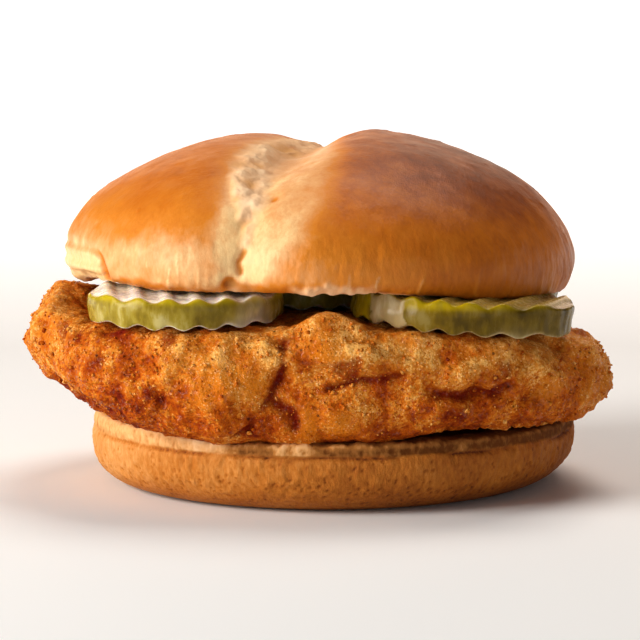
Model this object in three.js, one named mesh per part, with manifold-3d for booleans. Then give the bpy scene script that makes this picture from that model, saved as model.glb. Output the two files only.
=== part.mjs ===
// A fried chicken burger: a split bun, a breaded chicken fillet and four crinkle-cut pickle slices.
// Millimetres, +Z up. The origin is the middle of the bun heel's flat underside, the front of the burger
// faces -Y and the longer way of the fillet lies along X.
import * as THREE from "three";
import { ImprovedNoise } from "three/addons/math/ImprovedNoise.js";
import { mergeVertices } from "three/addons/utils/BufferGeometryUtils.js";
import Module from "manifold-3d";

const wasm = await Module();
wasm.setup();

// Driving dimensions of the bun heel
const HEEL_RADIUS = 50;
const HEEL_HEIGHT = 13.6;
const HEEL_FOOT_RADIUS = 40;
const HEEL_WIDEST_HEIGHT = 8.5;
const CRUMB_BAND_HEIGHT = 2.3; // the pale cut edge above the crust
const HEEL_SHIFT = 1; // the foot lies a little to the left of the cut face
const HEEL_WAVE = 0.25; // the cut face rises and falls this much
const HEEL_LEFT_RISE = 1.5; // and its rim stands this much higher at the left
const HEEL_SECTORS = 60;

// Driving dimensions of the chicken fillet
const FILLET_CENTRE = new THREE.Vector2(-3, -3);
// How far the fillet's edge lies from its centre, every 22.5 degrees, anticlockwise from the right end.
const FILLET_REACH = [58.9, 57.5, 54, 50, 47, 49, 56, 58.5, 59, 59.6, 58.5, 53.5, 50, 52, 57.5, 60.2];
const FILLET_TOP = 36.6;
const FILLET_LEFT_LIFT = 3.6; // the front of the left end curls up
const FILLET_TIP_DROP = 1.8; // and its tip turns down again
const FILLET_RIGHT_DROP = 7; // the right end thins out
const FILLET_RIGHT_LEAN = 2.4; // the foot of the right end reaches further out than its top
const FILLET_LIE = 0.5; // how high its underside lies above the bun
const FILLET_GAPE = 1.3; // and how much more at the front right, where it gapes
const FILLET_CURL = [5.6, 1.2]; // past the bun's edge the left and right undersides rise this much
const FILLET_RIDGE = 1.2; // the middle of the top is this much thicker
const FILLET_KNOB = 3.6; // the knob between the front slices
const FILLET_CRAG = 1.5;
const CRAG_GRAINS = [9, 4.6]; // the widths of the coarse and the fine crags
const FILLET_SECTORS = 92;

// Driving dimensions of the pickle slices
const CRINKLE_PITCH = 5.5;
const CRINKLE_HEIGHT = 0.55; // from the middle of the wave to the top of a ridge
const CUCUMBER_OUTLINE = [1, 0.985, 1.01, 0.99, 1.005, 1.015, 0.985]; // how far from round, in equal steps
const CRINKLE_STEPS = 6;
const PICKLE_SIDES = 44;
// Each slice's radius and thickness, its centre, its crinkles' turn and its leans forward and to the right
const PICKLES = [
  { name: "front_left", radius: 19, thick: 5.2, x: -28.8, y: -31.5, z: 39.3, turn: 6, lean: [2.2, 0] },
  { name: "front_right", radius: 21.5, thick: 5.7, x: 25.2, y: -29.5, z: 38.2, turn: -19, lean: [1, 4.5] },
  { name: "back_left", radius: 19, thick: 5, x: -7, y: 2, z: 39, turn: 24, lean: [0, 0.5] },
  { name: "back_right", radius: 19, thick: 5, x: 29.5, y: 16.5, z: 38.2, turn: -62, lean: [-1, 2.5] },
];

// Driving dimensions of the bun crown
const CROWN_CENTRE = new THREE.Vector2(-3, 0);
const CROWN_RADIUS = 53;
const CROWN_WIDEST_HEIGHT = 46.4;
const CROWN_DOME = 25.8; // from the widest height to the top
const CROWN_CEILING = 42.9; // the cut face above the filling
// Height of the crown's lower edge, every 45 degrees, anticlockwise from the right.
const CROWN_EDGE = [38.5, 39, 39.5, 39.8, 40.2, 42.4, 43, 41.2];
const CROWN_FLATNESS = 0.022; // the shoulder lies this much inside a true ellipse, most of all on the right
const CROWN_LOBE = new THREE.Vector2(9, 0); // the bun on the right of the seam stands higher here
const CROWN_LOBE_RISE = 0.7;
const CROWN_SECTORS = 72;

// The seam where two buns grew together and tore apart: it crosses the crown from its front to behind its top
const SEAM_FOOT = new THREE.Vector2(-17.5, -48);
const SEAM_VALLEY_DEPTH = 3.2;
const SEAM_VALLEY_WIDTH = 9;
const SEAM_TEAR_DEPTH = 1.7;
const SEAM_TEAR_WIDTH = 3.4;
const SEAM_CRAG = 0.7; // the torn crumb is this rough
const SEAM_CROWDING = 0.45; // how much closer than elsewhere the sectors stand at the seam's foot

const CONTACT_GAP = 0.4;

const noise = new ImprovedNoise();

// Smooth unevenness of a given grain size, from -1 to 1.
function uneven(x, y, z, grain) {
  return noise.noise(x / grain + 7.3, y / grain + 3.1, z / grain + 11.7);
}

// Rises smoothly from 0 to 1 as the value goes from start to end, whichever of them is larger.
function ease(value, start, end) {
  return THREE.MathUtils.smoothstep((value - start) / (end - start), 0, 1);
}

// A bump or groove that fades away on both sides of its middle.
function swell(distance, width, height) {
  return height * Math.exp(-((distance / width) ** 2));
}

// A smooth closed curve through values that are evenly spaced round a full turn.
function around(values) {
  const points = values.map((value) => new THREE.Vector3(value, 0, 0));
  const curve = new THREE.CatmullRomCurve3(points, true, "catmullrom", 0.5);
  return (angle) => curve.getPoint(THREE.MathUtils.euclideanModulo(angle / (2 * Math.PI), 1)).x;
}

// Points on an elliptical arc of a profile, whose x is measured from the axis. Bluntness under 1 squares it.
function arc(reach, height, across, up, from, to, steps, bluntness = 1) {
  return Array.from({ length: steps + 1 }, (_, i) => {
    const angle = THREE.MathUtils.degToRad(from + ((to - from) * i) / steps);
    const out = Math.max(Math.cos(angle), 0) ** bluntness;
    return new THREE.Vector2(reach + across * out, height + up * Math.sin(angle));
  });
}

// One closed surface whose corners are moved one by one into the food's uneven shape.
function moulded(geometry, move) {
  geometry.deleteAttribute("normal");
  geometry.deleteAttribute("uv");
  const merged = mergeVertices(geometry, 1e-4);
  const position = merged.getAttribute("position");
  const point = new THREE.Vector3();
  for (let i = 0; i < position.count; i++) {
    point.fromBufferAttribute(position, i);
    move(point);
    position.setXYZ(i, point.x, point.y, point.z);
  }
  return merged;
}

// A profile turned about +Z.
function turned(profile, sectors) {
  return new THREE.LatheGeometry(profile, sectors).rotateX(Math.PI / 2);
}

// The height of the bun heel's cut face, which is a little wavy and stands higher along its rim at the left.
function heelTop(x, y) {
  const rim = ease(Math.hypot(x, y), HEEL_RADIUS - 12, HEEL_RADIUS - 4) * ease(x, -18, -42);
  return HEEL_HEIGHT + HEEL_LEFT_RISE * rim + HEEL_WAVE * uneven(x, y, 0, 16);
}

function bunHeel() {
  const crease = HEEL_HEIGHT - CRUMB_BAND_HEIGHT;
  const corner = HEEL_RADIUS - HEEL_FOOT_RADIUS;
  const profile = [
    new THREE.Vector2(0, 0),
    ...arc(HEEL_FOOT_RADIUS, HEEL_WIDEST_HEIGHT, corner, HEEL_WIDEST_HEIGHT, -90, 0, 6),
    new THREE.Vector2(HEEL_RADIUS, crease - 0.3),
    new THREE.Vector2(HEEL_RADIUS - 0.6, crease + 0.2),
    new THREE.Vector2(HEEL_RADIUS - 0.2, crease + 1.1),
    new THREE.Vector2(HEEL_RADIUS - 0.8, HEEL_HEIGHT - 0.4),
    new THREE.Vector2(HEEL_RADIUS - 3, HEEL_HEIGHT),
    new THREE.Vector2(HEEL_RADIUS * 0.7, HEEL_HEIGHT),
    new THREE.Vector2(HEEL_RADIUS * 0.35, HEEL_HEIGHT),
    new THREE.Vector2(0, HEEL_HEIGHT),
  ];
  return moulded(turned(profile, HEEL_SECTORS), (p) => {
    const bearing = Math.atan2(p.y, p.x);
    const share = p.z / HEEL_HEIGHT;
    const bulge = 1 + share * (0.005 * Math.sin(2 * bearing + 0.7) + 0.005 * Math.sin(3 * bearing + 2));
    p.x = p.x * bulge - HEEL_SHIFT * (1 - share) ** 2;
    p.y *= bulge;
    p.z += ease(p.z, crease, HEEL_HEIGHT) * (heelTop(p.x, p.y) - HEEL_HEIGHT);
  });
}

// The height of a slice's middle plane.
function sliceHeight(slice, x, y) {
  const [forward, right] = slice.lean.map((degrees) => Math.tan(THREE.MathUtils.degToRad(degrees)));
  return slice.z + (y - slice.y) * forward - (x - slice.x) * right;
}

// What lies under or over a slice keeps clear of it, and may close in again past its rim.
function clearOfSlice(slice, x, y) {
  const past = Math.max(Math.hypot(x - slice.x, y - slice.y) - slice.radius - 4, 0);
  return slice.thick / 2 + CRINKLE_HEIGHT + CONTACT_GAP - past / 2;
}

function underPickles(x, y) {
  return Math.min(...PICKLES.map((slice) => sliceHeight(slice, x, y) - clearOfSlice(slice, x, y)));
}

function overPickles(x, y) {
  return Math.max(...PICKLES.map((slice) => sliceHeight(slice, x, y) + clearOfSlice(slice, x, y)));
}

// The deep creases in the fillet's front face, each along a line from one (x, z) to another.
const CREASES = [
  { from: new THREE.Vector2(-7, 36), to: new THREE.Vector2(-10, 26), depth: 1.8 },
  { from: new THREE.Vector2(-10, 26), to: new THREE.Vector2(-16, 14), depth: 2.4 },
  { from: new THREE.Vector2(-8, 27), to: new THREE.Vector2(8, 25), depth: 2.2 },
  { from: new THREE.Vector2(8, 25), to: new THREE.Vector2(36, 23), depth: 1.8 },
];
const CREASE_WIDTH = 2.6;

function creaseDepth(x, z) {
  const here = new THREE.Vector2(x, z);
  const depths = CREASES.map(({ from, to, depth }) => {
    const along = to.clone().sub(from);
    const share = THREE.MathUtils.clamp(here.clone().sub(from).dot(along) / along.lengthSq(), 0, 1);
    return swell(here.distanceTo(from.clone().addScaledVector(along, share)), CREASE_WIDTH, depth);
  });
  return Math.max(...depths);
}

function filletTop(x, y) {
  const ridge = swell(y + 4, 26, FILLET_RIDGE);
  const knob = swell(x + 2, 7, FILLET_KNOB) * ease(y, -30, -44);
  const curl = FILLET_LEFT_LIFT * ease(x, -44, -56) * ease(y, 34, -8);
  const left = curl - FILLET_TIP_DROP * ease(x, -55, -59);
  return FILLET_TOP + ridge + knob + left - FILLET_RIGHT_DROP * ease(x, 24, 56);
}

// The underside rests on the bun and rises past its edge, most of all at the left end.
function filletUnderside(x, y) {
  const past = ease(Math.hypot(x, y), HEEL_RADIUS - 5, HEEL_RADIUS + 13);
  const gape = FILLET_GAPE * ease(x, 8, 24) * ease(y, -18, -40);
  const curl = FILLET_CURL[0] * ease(x, -32, -56) + FILLET_CURL[1] * ease(x, 38, 54);
  return heelTop(x, y) + FILLET_LIE + gape + past * (1 + curl);
}

function chickenFillet() {
  const reachAt = around(FILLET_REACH);
  // A rounded slab of reach 1 and half-height 1, with its rings closest together on the side, which shows.
  const profile = [
    new THREE.Vector2(0, -1),
    new THREE.Vector2(0.4, -1),
    new THREE.Vector2(0.68, -1),
    ...arc(0.8, 0, 0.2, 1, -90, 90, 12, 0.6),
    ...[0.72, 0.6, 0.48, 0.36, 0.24, 0.12, 0].map((reach) => new THREE.Vector2(reach, 1)),
  ];
  return moulded(turned(profile, FILLET_SECTORS), (p) => {
    const share = Math.hypot(p.x, p.y);
    const level = (p.z + 1) / 2;
    const reach = reachAt(Math.atan2(p.y, p.x));
    const y = FILLET_CENTRE.y + reach * p.y;
    let x = FILLET_CENTRE.x + reach * p.x;
    x -= FILLET_RIGHT_LEAN * (level - 0.3) * ease(x, 30, 58);
    const z = THREE.MathUtils.lerp(filletUnderside(x, y), filletTop(x, y), level);

    // Crags push the side in and out and the top up and down, and the creases cut into the front.
    const [coarse, fine] = CRAG_GRAINS.map((grain) => uneven(x, y, z, grain));
    const crag = FILLET_CRAG * (coarse + 0.6 * fine);
    const crease = ease(y, -22, -40) * creaseDepth(x, z);
    const push = ease(share, 0.72, 0.95) * (1.2 * crag - crease);
    p.x = x + (p.x / Math.max(share, 0.1)) * push;
    p.y = y + (p.y / Math.max(share, 0.1)) * push;
    p.z = Math.min(z + 0.9 * crag * ease(level, 0.4, 0.95), underPickles(p.x, p.y));
    p.z = Math.max(p.z, heelTop(p.x, p.y) + CONTACT_GAP);
  });
}

function solidOf(geometry) {
  const closed = moulded(geometry, () => {});
  const vertProperties = new Float32Array(closed.getAttribute("position").array);
  const triVerts = new Uint32Array(closed.index.array);
  return new wasm.Manifold(new wasm.Mesh({ numProp: 3, vertProperties, triVerts }));
}

function geometryOf(solid) {
  const mesh = solid.getMesh();
  const geometry = new THREE.BufferGeometry();
  geometry.setAttribute("position", new THREE.BufferAttribute(mesh.vertProperties, 3));
  geometry.setIndex(new THREE.BufferAttribute(mesh.triVerts, 1));
  return geometry;
}

// A slice through a pickled cucumber, cut twice by a crinkled blade, so that its two faces run in step.
function pickleSlice({ radius, thick }) {
  const half = radius + 2;
  const count = Math.ceil((2 * half * CRINKLE_STEPS) / CRINKLE_PITCH);
  const wave = Array.from({ length: count + 1 }, (_, i) => {
    const x = -half + (2 * half * i) / count;
    return new THREE.Vector2(x, CRINKLE_HEIGHT * Math.sin((2 * Math.PI * x) / CRINKLE_PITCH));
  });
  const lower = wave.map(({ x, y }) => new THREE.Vector2(x, y - thick / 2));
  const upper = wave.map(({ x, y }) => new THREE.Vector2(x, y + thick / 2)).reverse();
  const slab = new THREE.ExtrudeGeometry(new THREE.Shape([...lower, ...upper]), {
    depth: 2 * half,
    bevelEnabled: false,
  });
  slab.translate(0, 0, -half);
  slab.rotateX(Math.PI / 2);
  const reachAt = around(CUCUMBER_OUTLINE);
  const cylinder = new THREE.CylinderGeometry(radius, radius, 4 * thick, PICKLE_SIDES).rotateX(Math.PI / 2);
  const cucumber = moulded(cylinder, (p) => {
    const reach = reachAt(Math.atan2(p.y, p.x));
    p.x *= reach;
    p.y *= reach;
  });
  return geometryOf(solidOf(slab).intersect(solidOf(cucumber)));
}

// How deep the seam cuts into the crown at a point seen from above.
function seamDepth(x, y) {
  const ahead = SEAM_FOOT.clone().sub(CROWN_CENTRE).normalize();
  const from = new THREE.Vector2(x, y).sub(CROWN_CENTRE);
  const run = from.dot(ahead);
  const across = from.cross(ahead);
  const tearWidth = SEAM_TEAR_WIDTH * THREE.MathUtils.lerp(1.6, 0.6, ease(run, 20, 50));
  const valley = swell(across, SEAM_VALLEY_WIDTH, SEAM_VALLEY_DEPTH);
  const tear = swell(across, tearWidth, SEAM_TEAR_DEPTH + SEAM_CRAG * uneven(x, y, 0, 4));
  return (valley + tear) * ease(run, -46, -20);
}

// Levels of the crown: -1 is the cut face, 0 the lower edge, 1 the widest height and 2 the top.
function crownHeight(level, edge) {
  if (level > 1) return CROWN_WIDEST_HEIGHT + CROWN_DOME * (level - 1);
  if (level > 0) return THREE.MathUtils.lerp(edge, CROWN_WIDEST_HEIGHT, level);
  return THREE.MathUtils.lerp(edge, CROWN_CEILING, -level);
}

function bunCrown() {
  const edgeAt = around(CROWN_EDGE);
  const foot = SEAM_FOOT.clone().sub(CROWN_CENTRE).angle();
  const profile = [
    ...[0, 0.3, 0.55, 0.75].map((reach) => new THREE.Vector2(reach, -1)),
    new THREE.Vector2(0.87, -0.8),
    new THREE.Vector2(0.94, -0.2),
    new THREE.Vector2(0.98, 0.2),
    new THREE.Vector2(1, 0.6),
    ...arc(0, 1, 1, 1, 0, 84, 12),
    new THREE.Vector2(0, 2),
  ];
  return moulded(turned(profile, CROWN_SECTORS), (p) => {
    const share = Math.hypot(p.x, p.y);
    const level = p.z;
    const even = Math.atan2(p.y, p.x);
    const bearing = even - SEAM_CROWDING * Math.sin(even - foot);
    const wobble = 1 + 0.006 * Math.sin(3 * bearing + 1) + 0.004 * Math.sin(5 * bearing);
    const out = new THREE.Vector2(Math.cos(bearing), Math.sin(bearing));
    let z = crownHeight(level, edgeAt(bearing));

    // Under its widest height the crown curls in, as a ball does.
    const drop = Math.max(CROWN_WIDEST_HEIGHT - z, 0) / CROWN_DOME;
    const slope = 1 - swell(level - 1.45, 0.35, CROWN_FLATNESS) * (0.6 + 0.4 * out.x);
    const reach = CROWN_RADIUS * wobble * slope * share * Math.sqrt(1 - drop * drop);
    const place = out.clone().multiplyScalar(reach).add(CROWN_CENTRE);

    // The seam cuts square to the dome: down at the top and inwards at the side.
    const seam = seamDepth(place.x, place.y) * ease(level, -0.7, 0.2);
    const steep = ease(share, 0.55, 1);
    place.addScaledVector(out, -seam * steep);
    z -= seam * (1 - steep);
    z += swell(place.distanceTo(CROWN_LOBE), 16, CROWN_LOBE_RISE) * ease(level, 1, 1.5);
    if (level < 1) z = Math.max(z, overPickles(place.x, place.y));
    p.set(place.x, place.y, z);
  });
}

// Baked crust, fried breading and pickle skin, as they look in daylight.
const CRUST = new THREE.MeshStandardMaterial({ color: 0xc9782e, roughness: 0.38, metalness: 0 });
const PALE_CRUST = new THREE.MeshStandardMaterial({ color: 0xd99a52, roughness: 0.6, metalness: 0 });
const BREADING = new THREE.MeshStandardMaterial({ color: 0xb8601f, roughness: 0.5, metalness: 0 });
const PICKLE = new THREE.MeshStandardMaterial({ color: 0x9c9a38, roughness: 0.25, metalness: 0 });

function piece(name, geometry, material) {
  const mesh = new THREE.Mesh(geometry, material);
  mesh.name = name;
  return mesh;
}

const burger = new THREE.Group();
burger.add(piece("bun_heel", bunHeel(), PALE_CRUST));
burger.add(piece("chicken_fillet", chickenFillet(), BREADING));
for (const slice of PICKLES) {
  const mesh = piece(`pickle_${slice.name}`, pickleSlice(slice), PICKLE);
  mesh.position.set(slice.x, slice.y, slice.z);
  const [forward, right] = slice.lean.map(THREE.MathUtils.degToRad);
  mesh.rotation.x = forward;
  mesh.rotation.y = right;
  mesh.rotateZ(THREE.MathUtils.degToRad(slice.turn));
  burger.add(mesh);
}
burger.add(piece("bun_crown", bunCrown(), CRUST));

export default burger;
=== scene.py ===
import math

import bmesh
import bpy
import numpy as np
from mathutils import Matrix, Vector


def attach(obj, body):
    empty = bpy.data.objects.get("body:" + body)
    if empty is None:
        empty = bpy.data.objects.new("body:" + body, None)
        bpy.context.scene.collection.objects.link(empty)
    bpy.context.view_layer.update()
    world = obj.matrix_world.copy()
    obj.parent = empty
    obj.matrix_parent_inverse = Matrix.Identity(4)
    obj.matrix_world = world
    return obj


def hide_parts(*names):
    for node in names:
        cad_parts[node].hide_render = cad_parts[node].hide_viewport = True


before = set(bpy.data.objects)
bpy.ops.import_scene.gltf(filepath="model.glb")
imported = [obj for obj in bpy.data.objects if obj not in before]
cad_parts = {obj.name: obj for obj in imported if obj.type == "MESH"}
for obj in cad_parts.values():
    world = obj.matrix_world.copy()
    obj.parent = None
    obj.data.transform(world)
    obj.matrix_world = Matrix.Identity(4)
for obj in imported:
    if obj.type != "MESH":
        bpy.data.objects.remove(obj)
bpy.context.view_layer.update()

MM = 0.001
IMAGE_SIZE = 640  # pixels, both ways

# Camera, worked out from the outline of the bun heel in the photograph
CAMERA_AT = Vector((-2.7, -500.0, 85.0)) * MM
CAMERA_PITCH = 6.0  # degrees down
FOCAL_LENGTH = 2417.0 / IMAGE_SIZE  # in image widths

# The point that the softboxes face
LIT_MIDDLE = (0.0, 0.0, 38.0)
# Softboxes: name, degrees to the right of the camera, degrees up, distance, width, watts and colour
SOFTBOXES = [
    ("key_softbox", -67.0, 20.0, 900.0, 480.0, 9.3, "#FFFBF4"),
    ("overhead_softbox", 148.0, 68.0, 750.0, 420.0, 3.0, "#FFF2E6"),
    ("back_softbox", 180.0, 12.0, 1100.0, 800.0, 3.2, "#FFDDC0"),
    ("fill_card", 15.0, 1.0, 1000.0, 700.0, 1.3, "#FFFFFF"),
]
# Strength of the light from all round, and along the horizon
ROOM_LIGHT = 0.1
HORIZON_LIGHT = 1.1
# How far the floor reaches to each side
FLOOR_REACH = 6000.0
# Between these distances from the middle the floor begins to shine white, so that its far edge is lost.
FLOOR_FADE = (250.0, 1200.0)
VIEW_GAMMA = 0.9
VIEW_EXPOSURE = 0.12

# Distance between the points of each piece's mesh, fine enough for its smallest relief
CROWN_GRID = 0.5
HEEL_GRID = 0.55
FILLET_GRID = 0.58
FRONT_SLICE_GRID = 0.32
BACK_LEFT_GRID = 0.4
BACK_RIGHT_GRID = 0.45
# Steps that round off the solids' facets. The crown's are the widest.
CROWN_MELTING = 40
MELTING = 8

# Height of the bun heel's crease, where the crust ends and the cut crumb begins
HEEL_CREASE = 11.3
# Where pale crumb bulges out over the crease: middle and reach
HEEL_TUFTS = [
    ((-25.5, -41.4, 13.2), 2.2), ((-22.5, -43.2, 12.8), 2.4), ((-9.5, -47.8, 12.6), 2.2),
    ((-6.5, -48.2, 12.4), 2.4), ((25.0, -43.0, 12.6), 1.6),
]

# The bun crown: its middle, its radius, the height where it is widest, and its dome's rise above that
CROWN_MIDDLE = np.array([-3.0, 0.0])
CROWN_RADIUS = 53.0
CROWN_WIDEST = 46.4
CROWN_DOME = 25.8
# Height of its lower edge, every 45 degrees, anticlockwise from the right
CROWN_EDGE = [38.5, 39.0, 39.5, 39.8, 40.2, 42.4, 43.0, 41.2]

# The seam where two buns tore apart. Its foot is at the front edge of the crown.
SEAM_FOOT = np.array([-17.5, -48.0])
# At these angles up the dome, how far torn crumb and stretched skin reach to the left and right of the
# seam's line
SEAM_ANGLES = [-5, 0, 6, 13, 20, 27, 34, 42, 48, 55, 65, 76, 90, 120, 150]
CRUMB_LEFT = [3.0, 1.4, 0.6, 0.0, 1.4, 2.8, 4.8, 6.4, 7.3, 7.9, 8.0, 8.5, 7.0, 3.0, -2.0]
CRUMB_RIGHT = [-1.4, -0.2, 0.1, 0.4, 1.3, 2.0, 1.8, 0.4, -0.4, -1.2, -2.0, 0.0, 1.0, 1.0, -2.0]
SKIN_LEFT = [5.5, 4.9, 5.3, 5.8, 6.3, 7.0, 7.3, 9.1, 9.8, 10.5, 11.1, 11.0, 10.0, 6.0, 1.0]
SKIN_RIGHT = [5.2, 7.0, 9.2, 11.4, 13.4, 14.8, 15.4, 15.4, 15.0, 14.0, 12.0, 9.0, 6.0, 3.0, 0.0]
# In the seam: toasted patches and pale tufts, each a middle and a reach
SEAM_TOASTED = [
    ((-19.0, -26.0, 65.9), 2.2), ((-14.9, -24.7, 65.1), 1.8), ((-16.2, -33.6, 62.2), 1.6),
    ((-8.8, -9.1, 67.4), 4.5), ((-17.8, -43.6, 54.5), 2.0), ((-18.7, -39.3, 59.6), 1.1),
    ((-12.0, -40.0, 60.0), 1.3), ((-15.0, -42.5, 57.5), 0.9),
]
SEAM_TUFTS = [
    ((-14.3, -15.1, 68.3), 2.8), ((-16.5, -21.5, 66.9), 2.2), ((-14.0, -27.3, 63.6), 2.6),
    ((-17.1, -37.1, 60.6), 2.0), ((-16.0, -39.8, 58.5), 2.2), ((-18.6, -30.0, 63.5), 1.6),
    ((-12.6, -33.0, 62.3), 2.0),
]

# Dents in the crown: where, how wide and how deep
CROWN_DENTS = [((-11.9, -40.4, 60.7), 1.5, 1.0), ((-19.8, -46.6, 44.3), 1.5, 1.6)]
# Where the right bun stands fullest, beside the seam: middle, reach and height
CROWN_SHOULDER = ((5.0, 0.0, 70.3), 7.0, 1.1)
# How far the front edge sags over the slices: all along, more from x 5 to 15, and more from x 18 to 32
CROWN_SAG = 0.6
CROWN_SAG_MIDDLE = 0.4
CROWN_SAG_RIGHT = 0.8
# The dark slit above the seam's foot
SEAM_SLIT = [(-17.0, -46.2, 50.2), (-18.1, -46.5, 48.3), (-17.7, -46.9, 46.6)]
# Stretch marks that run up from the crown's front edge: x at the edge, lean to the right, depth, height
EDGE_WRINKLES = [
    (2.9, -0.6, 0.35, 9.0), (7.6, 1.8, 0.45, 9.0), (13.6, 0.8, 0.3, 3.0), (15.6, 1.6, 0.5, 6.0),
    (27.0, 0.2, 0.45, 7.0), (21.0, 0.4, 0.2, 4.0), (38.0, 0.6, 0.3, 4.5), (40.2, 0.8, 0.35, 5.5),
    (42.3, 0.6, 0.4, 5.0), (44.2, 0.3, 0.4, 5.5), (-26.0, 0.3, 0.25, 8.0), (-29.5, -0.2, 0.2, 13.0),
    (-31.5, 0.3, 0.3, 7.0), (-36.0, 0.5, 0.2, 11.0), (-40.5, 0.2, 0.2, 7.0), (-33.5, 0.0, 0.18, 12.0),
]

# Tones of the crust, from pale to dark, which serve both for browner crust and for painted shade, and of the
# torn and cut crumb, from hollow to high
CROWN_TONES = [
    (0.0, "#E9C48E"), (0.12, "#DCA56E"), (0.24, "#D39050"), (0.36, "#CE8028"), (0.58, "#BF6C16"),
    (0.8, "#984C0E"), (1.0, "#602706"),
]
CROWN_CRUMB_TONES = [(0.0, "#C88A40"), (0.3, "#E2AA68"), (0.55, "#EBBE90"), (1.0, "#F6D8B4")]
HEEL_TONES = [
    (0.0, "#E2AA6C"), (0.3, "#CC8A44"), (0.5, "#BC7429"), (0.7, "#A55E1D"), (0.9, "#7F4212"),
    (1.0, "#5C2A0B"),
]
HEEL_CRUMB_TONES = [(0.0, "#6E3E14"), (0.35, "#B0763A"), (0.6, "#DDA86E"), (1.0, "#F0C89A")]
# How far patches of a few millimetres brown more or less than the rest
MOTTLING = 0.22
# Torn and cut crumb is matt.
CRUMB_ROUGHNESS = 0.85

# Tones of the breading, from hollow to high, the hollows painted dark as shade; of its glaze; of its
# creases, painted shade, and its dark spots; of painted glints; and of pepper on it
BREADING_TONES = [
    (0.0, "#741E04"), (0.2, "#9C4008"), (0.4, "#BE5E0C"), (0.58, "#D07A20"), (0.76, "#DC9038"),
    (1.0, "#F2B866"),
]
GLAZE_TONE = "#D87E08"
CREASE_TONE = "#700F03"
SALT_TONE = "#FACF90"
PEPPER_TONE = "#2E1206"

# Tones of the cucumber's skin, its yellower crests and the flesh, dark to pale: first for the slices in the
# light, then a darker copy, painted shade, for the slices on the right
PALE_SKIN = [(0.36, "#705C12"), (0.46, "#89741C"), (0.54, "#9E8A2E"), (0.66, "#BAAC6E")]
PALE_CREST = "#B8A216"
PALE_FLESH = [(0.3, "#F6F2E6"), (0.5, "#F9F6EC"), (0.7, "#FCFBF6")]
DARK_SKIN = [(0.36, "#503E04"), (0.46, "#665004"), (0.54, "#78600A"), (0.66, "#877438")]
DARK_CREST = "#A68E0E"
DARK_FLESH = [(0.3, "#A08A5C"), (0.5, "#B29C72"), (0.7, "#C8B894")]
# How far the skin's colour is spread over the top faces, as painted shade where the crown shadows the right
# slices
UNSTAINED = 0.0
STAINED = 0.6
# Where the right front slice has lost its skin, from left to right
PEELED = (7.2, 13.2)
NOT_PEELED = (0.0, 0.0)

# Creases of the breading, each a run of points on the fillet's front
BREADING_CREASES = [
    [(-8.9, -51.0, 32.7), (-9.4, -52.3, 29.5), (-10.2, -51.0, 25.6), (-11.7, -51.2, 22.4),
     (-17.8, -49.2, 16.4)],
    [(-11.7, -51.2, 22.4), (-8.3, -51.1, 20.5), (-7.2, -51.0, 18.0)],
    [(-0.8, -50.6, 25.7), (5.5, -51.0, 26.7), (9.3, -50.6, 25.7), (12.3, -50.9, 26.5)],
    [(19.1, -48.8, 23.9), (23.7, -48.0, 22.7), (29.6, -44.7, 23.4), (32.4, -45.0, 24.8)],
]
CREASE_DEPTH = 1.1
CREASE_WIDTH = 1.1
# Where the fillet's right end stands fullest: middle, reach and height
FILLET_SHOULDER = ((51.0, -21.0, 31.5), 6.0, 1.3)
# Where the batter ran together and stayed smooth: middle and reach
GLAZE_SPOTS = [
    ((-22.9, -52.5, 26.1), 4.6), ((-19.1, -52.3, 27.1), 4.8), ((-15.4, -52.2, 25.2), 4.2),
    ((-24.2, -52.9, 23.0), 3.6), ((-2.1, -52.2, 32.1), 3.2), ((-4.6, -50.7, 18.9), 4.0),
    ((1.1, -51.3, 18.0), 4.0), ((41.7, -39.5, 23.5), 3.6),
]
# Where the breading fried to a pale, sandy gold: middle and reach
PALE_SPOTS = [
    ((-33.8, -47.4, 33.3), 3.6), ((-26.4, -51.2, 30.9), 4.6), ((-23.1, -51.5, 29.6), 3.4),
    ((-15.2, -50.5, 33.1), 4.2), ((-13.3, -52.0, 31.5), 3.4), ((1.2, -51.0, 34.4), 5.4),
    ((19.3, -48.9, 32.1), 5.0), ((39.5, -39.5, 30.4), 5.0), ((28.0, -47.9, 28.6), 2.8),
    ((-38.6, -46.8, 24.6), 2.0), ((-53.9, -26.7, 37.2), 7.5), ((1.2, -51.2, 24.3), 2.2),
    ((12.3, -50.0, 31.7), 3.6), ((-30.8, -51.4, 28.5), 3.6), ((31.4, -45.8, 31.2), 3.6),
]
# Where it caught and fried dark: middle and reach
DARK_SPOTS = [
    ((-8.9, -50.0, 33.7), 1.4), ((-45.0, -44.7, 29.3), 1.8), ((-40.7, -43.3, 34.7), 2.6),
    ((-35.1, -48.5, 23.5), 1.8), ((-53.6, -23.5, 22.5), 2.0), ((9.3, -50.7, 25.9), 2.4),
    ((20.3, -48.5, 23.3), 1.4), ((30.0, -44.7, 23.2), 1.6), ((31.0, -46.4, 26.7), 1.0),
    ((-49.8, -38.4, 33.6), 1.8), ((23.7, -48.1, 19.1), 2.2),
]
# Loose crumbs that stuck to the fillet: how many, their smallest and largest reach, and the draw's seed
CRUMB_COUNT = 2200
CRUMB_REACH = (0.2, 0.5)
CRUMB_SEED = 7


# Random and uneven

def hashed(cell, seed):
    """A fixed random number from 0 to 1 for each whole-numbered cell."""
    # Large odd numbers scramble the bits.
    x, y, z = (cell[:, axis].astype(np.int64) for axis in range(3))
    mixed = ((x * 73856093) ^ (y * 19349663) ^ (z * 83492791) ^ (seed * 49979687)) & 0xFFFFFFFF
    mixed = ((mixed ^ (mixed >> 13)) * 1274126177) & 0xFFFFFFFF
    mixed = ((mixed ^ (mixed >> 15)) * 668265263) & 0xFFFFFFFF
    return ((mixed ^ (mixed >> 16)) & 0xFFFFFF) / 0xFFFFFF


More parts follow.
